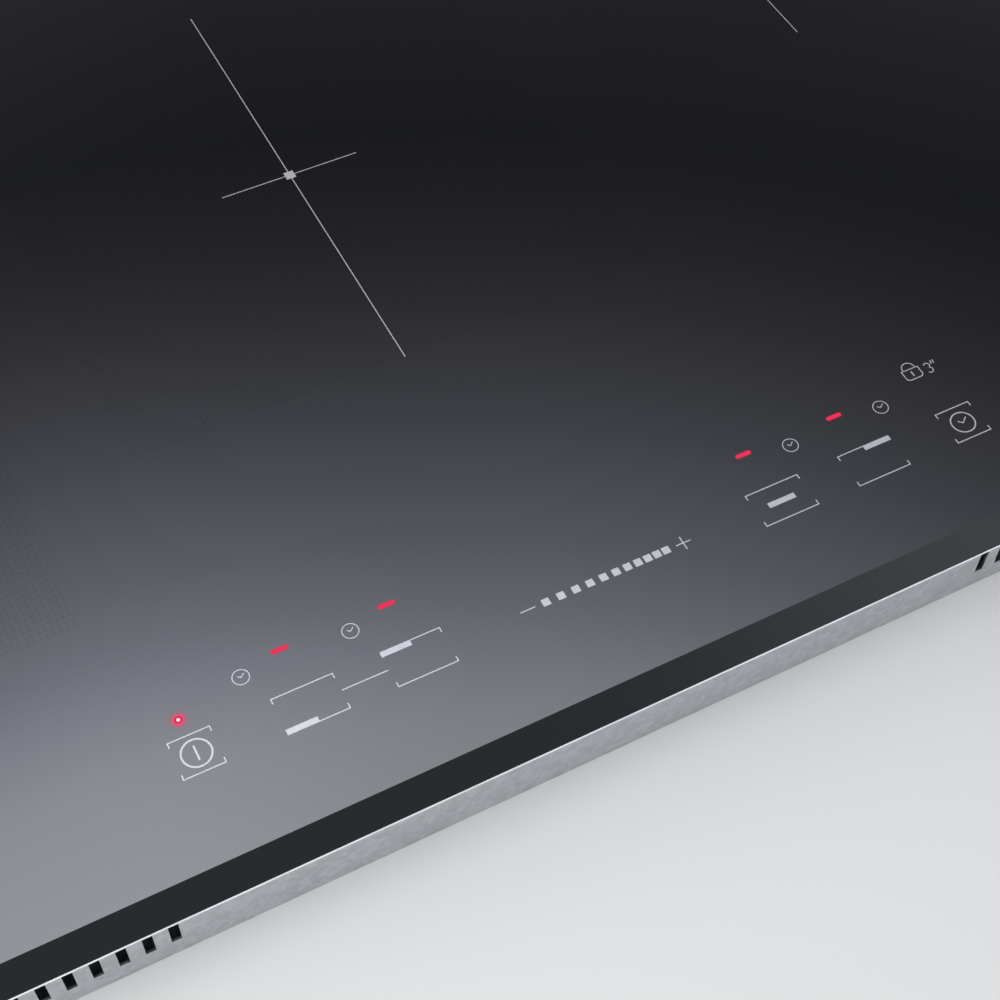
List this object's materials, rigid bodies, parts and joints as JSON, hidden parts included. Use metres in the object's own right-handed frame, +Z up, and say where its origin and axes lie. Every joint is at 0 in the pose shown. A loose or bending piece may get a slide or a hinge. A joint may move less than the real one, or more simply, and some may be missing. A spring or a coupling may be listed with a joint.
{
  "type": "built-in induction cooktop",
  "caption": "Built-in induction cooktop: black glass-ceramic top with a front facet and touch panel over a steel tray with floating coils, inverters and blowers.",
  "frame": {"origin": "middle of the tray's underside, under the middle of the glass", "axes": "+X to the user's right, +Y to the rear, +Z up out of the glass"},
  "size_m": [0.77, 0.51, 0.054],
  "materials": {
    "glass_ceramic": "polished black glass-ceramic with a ground front facet",
    "printed_mark": "light grey ceramic print fired on the glass",
    "dot_print": "fine dark dot raster printed over the cooking zones",
    "lamp_red": "lit red lamp seen through the glass",
    "silicone": "matt black silicone",
    "seal_foam": "closed-cell foam",
    "zinc_steel": "galvanised sheet with fine spangle",
    "spring_steel": "rolled spring strip",
    "screw_steel": "zinc-plated fasteners",
    "aluminium": "mill finish",
    "mica": "pressed mica sheet",
    "copper_litz": "enamelled stranded copper",
    "ferrite": "sintered ferrite",
    "white_plastic": "glass-filled moulding",
    "grey_plastic": "glass-filled moulding",
    "black_plastic": "fine-textured moulding",
    "circuit_board": "solder mask on laminate",
    "blue_plastic": "film capacitor case",
    "component_package": "moulded epoxy package"
  },
  "bodies": {
    "case": {"glass_top": "glass_ceramic", "glass_bond": "silicone", "top_frame": "zinc_steel", "rim_seal": "seal_foam", "bottom_tray": "zinc_steel", "coil_deck_left": "aluminium", "coil_deck_right": "aluminium", "wave_spring_front_left": "spring_steel", "wave_spring_rear_left": "spring_steel", "wave_spring_centre": "spring_steel", "wave_spring_rear_right": "spring_steel", "inverter_carrier_left": "grey_plastic", "power_board_left": "circuit_board", "heat_sink_left": "aluminium", "switch_bank_left": "component_package", "capacitor_bank_left": "blue_plastic", "fan_scroll_left": "black_plastic", "inverter_carrier_right": "grey_plastic", "power_board_right": "circuit_board", "heat_sink_right": "aluminium", "switch_bank_right": "component_package", "capacitor_bank_right": "blue_plastic", "fan_scroll_right": "black_plastic", "filter_board": "circuit_board", "filter_choke": "copper_litz", "filter_capacitor": "blue_plastic", "control_carrier": "white_plastic", "control_board": "circuit_board", "light_guide": "black_plastic", "terminal_box": "black_plastic", "terminal_block": "white_plastic", "cable_gland": "black_plastic"},
    "coil_front_left": {"coil_former_front_left": "white_plastic", "ferrite_star_front_left": "ferrite", "coil_winding_front_left": "copper_litz", "mica_disc_front_left": "mica", "temp_sensor_front_left": "silicone"},
    "coil_rear_left": {"coil_former_rear_left": "white_plastic", "ferrite_star_rear_left": "ferrite", "coil_winding_rear_left": "copper_litz", "mica_disc_rear_left": "mica", "temp_sensor_rear_left": "silicone"},
    "coil_centre": {"coil_former_centre": "white_plastic", "ferrite_star_centre": "ferrite", "coil_winding_centre": "copper_litz", "mica_disc_centre": "mica", "temp_sensor_centre": "silicone"},
    "coil_rear_right": {"coil_former_rear_right": "white_plastic", "ferrite_star_rear_right": "ferrite", "coil_winding_rear_right": "copper_litz", "mica_disc_rear_right": "mica", "temp_sensor_rear_right": "silicone"},
    "fan_left": {"fan_rotor_left": "grey_plastic"},
    "fan_right": {"fan_rotor_right": "grey_plastic"},
    "terminal_lid": {"terminal_cover": "black_plastic"},
    "clip_front_left": {"fixing_clip_front_left": "spring_steel"},
    "clip_front_right": {"fixing_clip_front_right": "spring_steel"},
    "clip_rear_left": {"fixing_clip_rear_left": "spring_steel"},
    "clip_rear_right": {"fixing_clip_rear_right": "spring_steel"}
  },
  "joints": [
    {"name": "coil_float_front_left", "type": "slide", "parent": "case", "child": "coil_front_left", "axis": [0, 0, 1], "range_m": [-0.002, 0], "stiffness_N_per_m": 6000, "springref_m": 0.003, "deforming": ["wave_spring_front_left"]},
    {"name": "coil_float_rear_left", "type": "slide", "parent": "case", "child": "coil_rear_left", "axis": [0, 0, 1], "range_m": [-0.002, 0], "stiffness_N_per_m": 6000, "springref_m": 0.003, "deforming": ["wave_spring_rear_left"]},
    {"name": "coil_float_centre", "type": "slide", "parent": "case", "child": "coil_centre", "axis": [0, 0, 1], "range_m": [-0.002, 0], "stiffness_N_per_m": 10000, "springref_m": 0.003, "deforming": ["wave_spring_centre"]},
    {"name": "coil_float_rear_right", "type": "slide", "parent": "case", "child": "coil_rear_right", "axis": [0, 0, 1], "range_m": [-0.002, 0], "stiffness_N_per_m": 6000, "springref_m": 0.003, "deforming": ["wave_spring_rear_right"]},
    {"name": "fan_spin_left", "type": "hinge", "parent": "case", "child": "fan_left", "pos_m": [-0.225, -0.0832, 0.0153], "axis": [0, 0, 1], "continuous": true},
    {"name": "fan_spin_right", "type": "hinge", "parent": "case", "child": "fan_right", "pos_m": [0.225, -0.0832, 0.0153], "axis": [0, 0, 1], "continuous": true},
    {"name": "terminal_cover_hinge", "type": "hinge", "parent": "case", "child": "terminal_lid", "pos_m": [0.288, 0.242, 0.005], "axis": [-1, 0, 0], "range_deg": [0, 90]},
    {"name": "clip_flex_front_left", "type": "hinge", "parent": "case", "child": "clip_front_left", "pos_m": [-0.3737, -0.155, 0.0149], "axis": [0, 1, 0], "range_deg": [0, 11], "stiffness_Nm_per_rad": 1.2},
    {"name": "clip_flex_front_right", "type": "hinge", "parent": "case", "child": "clip_front_right", "pos_m": [0.3737, -0.155, 0.0149], "axis": [0, -1, 0], "range_deg": [0, 11], "stiffness_Nm_per_rad": 1.2},
    {"name": "clip_flex_rear_left", "type": "hinge", "parent": "case", "child": "clip_rear_left", "pos_m": [-0.3737, 0.155, 0.0149], "axis": [0, 1, 0], "range_deg": [0, 11], "stiffness_Nm_per_rad": 1.2},
    {"name": "clip_flex_rear_right", "type": "hinge", "parent": "case", "child": "clip_rear_right", "pos_m": [0.3737, 0.155, 0.0149], "axis": [0, -1, 0], "range_deg": [0, 11], "stiffness_Nm_per_rad": 1.2}
  ]
}
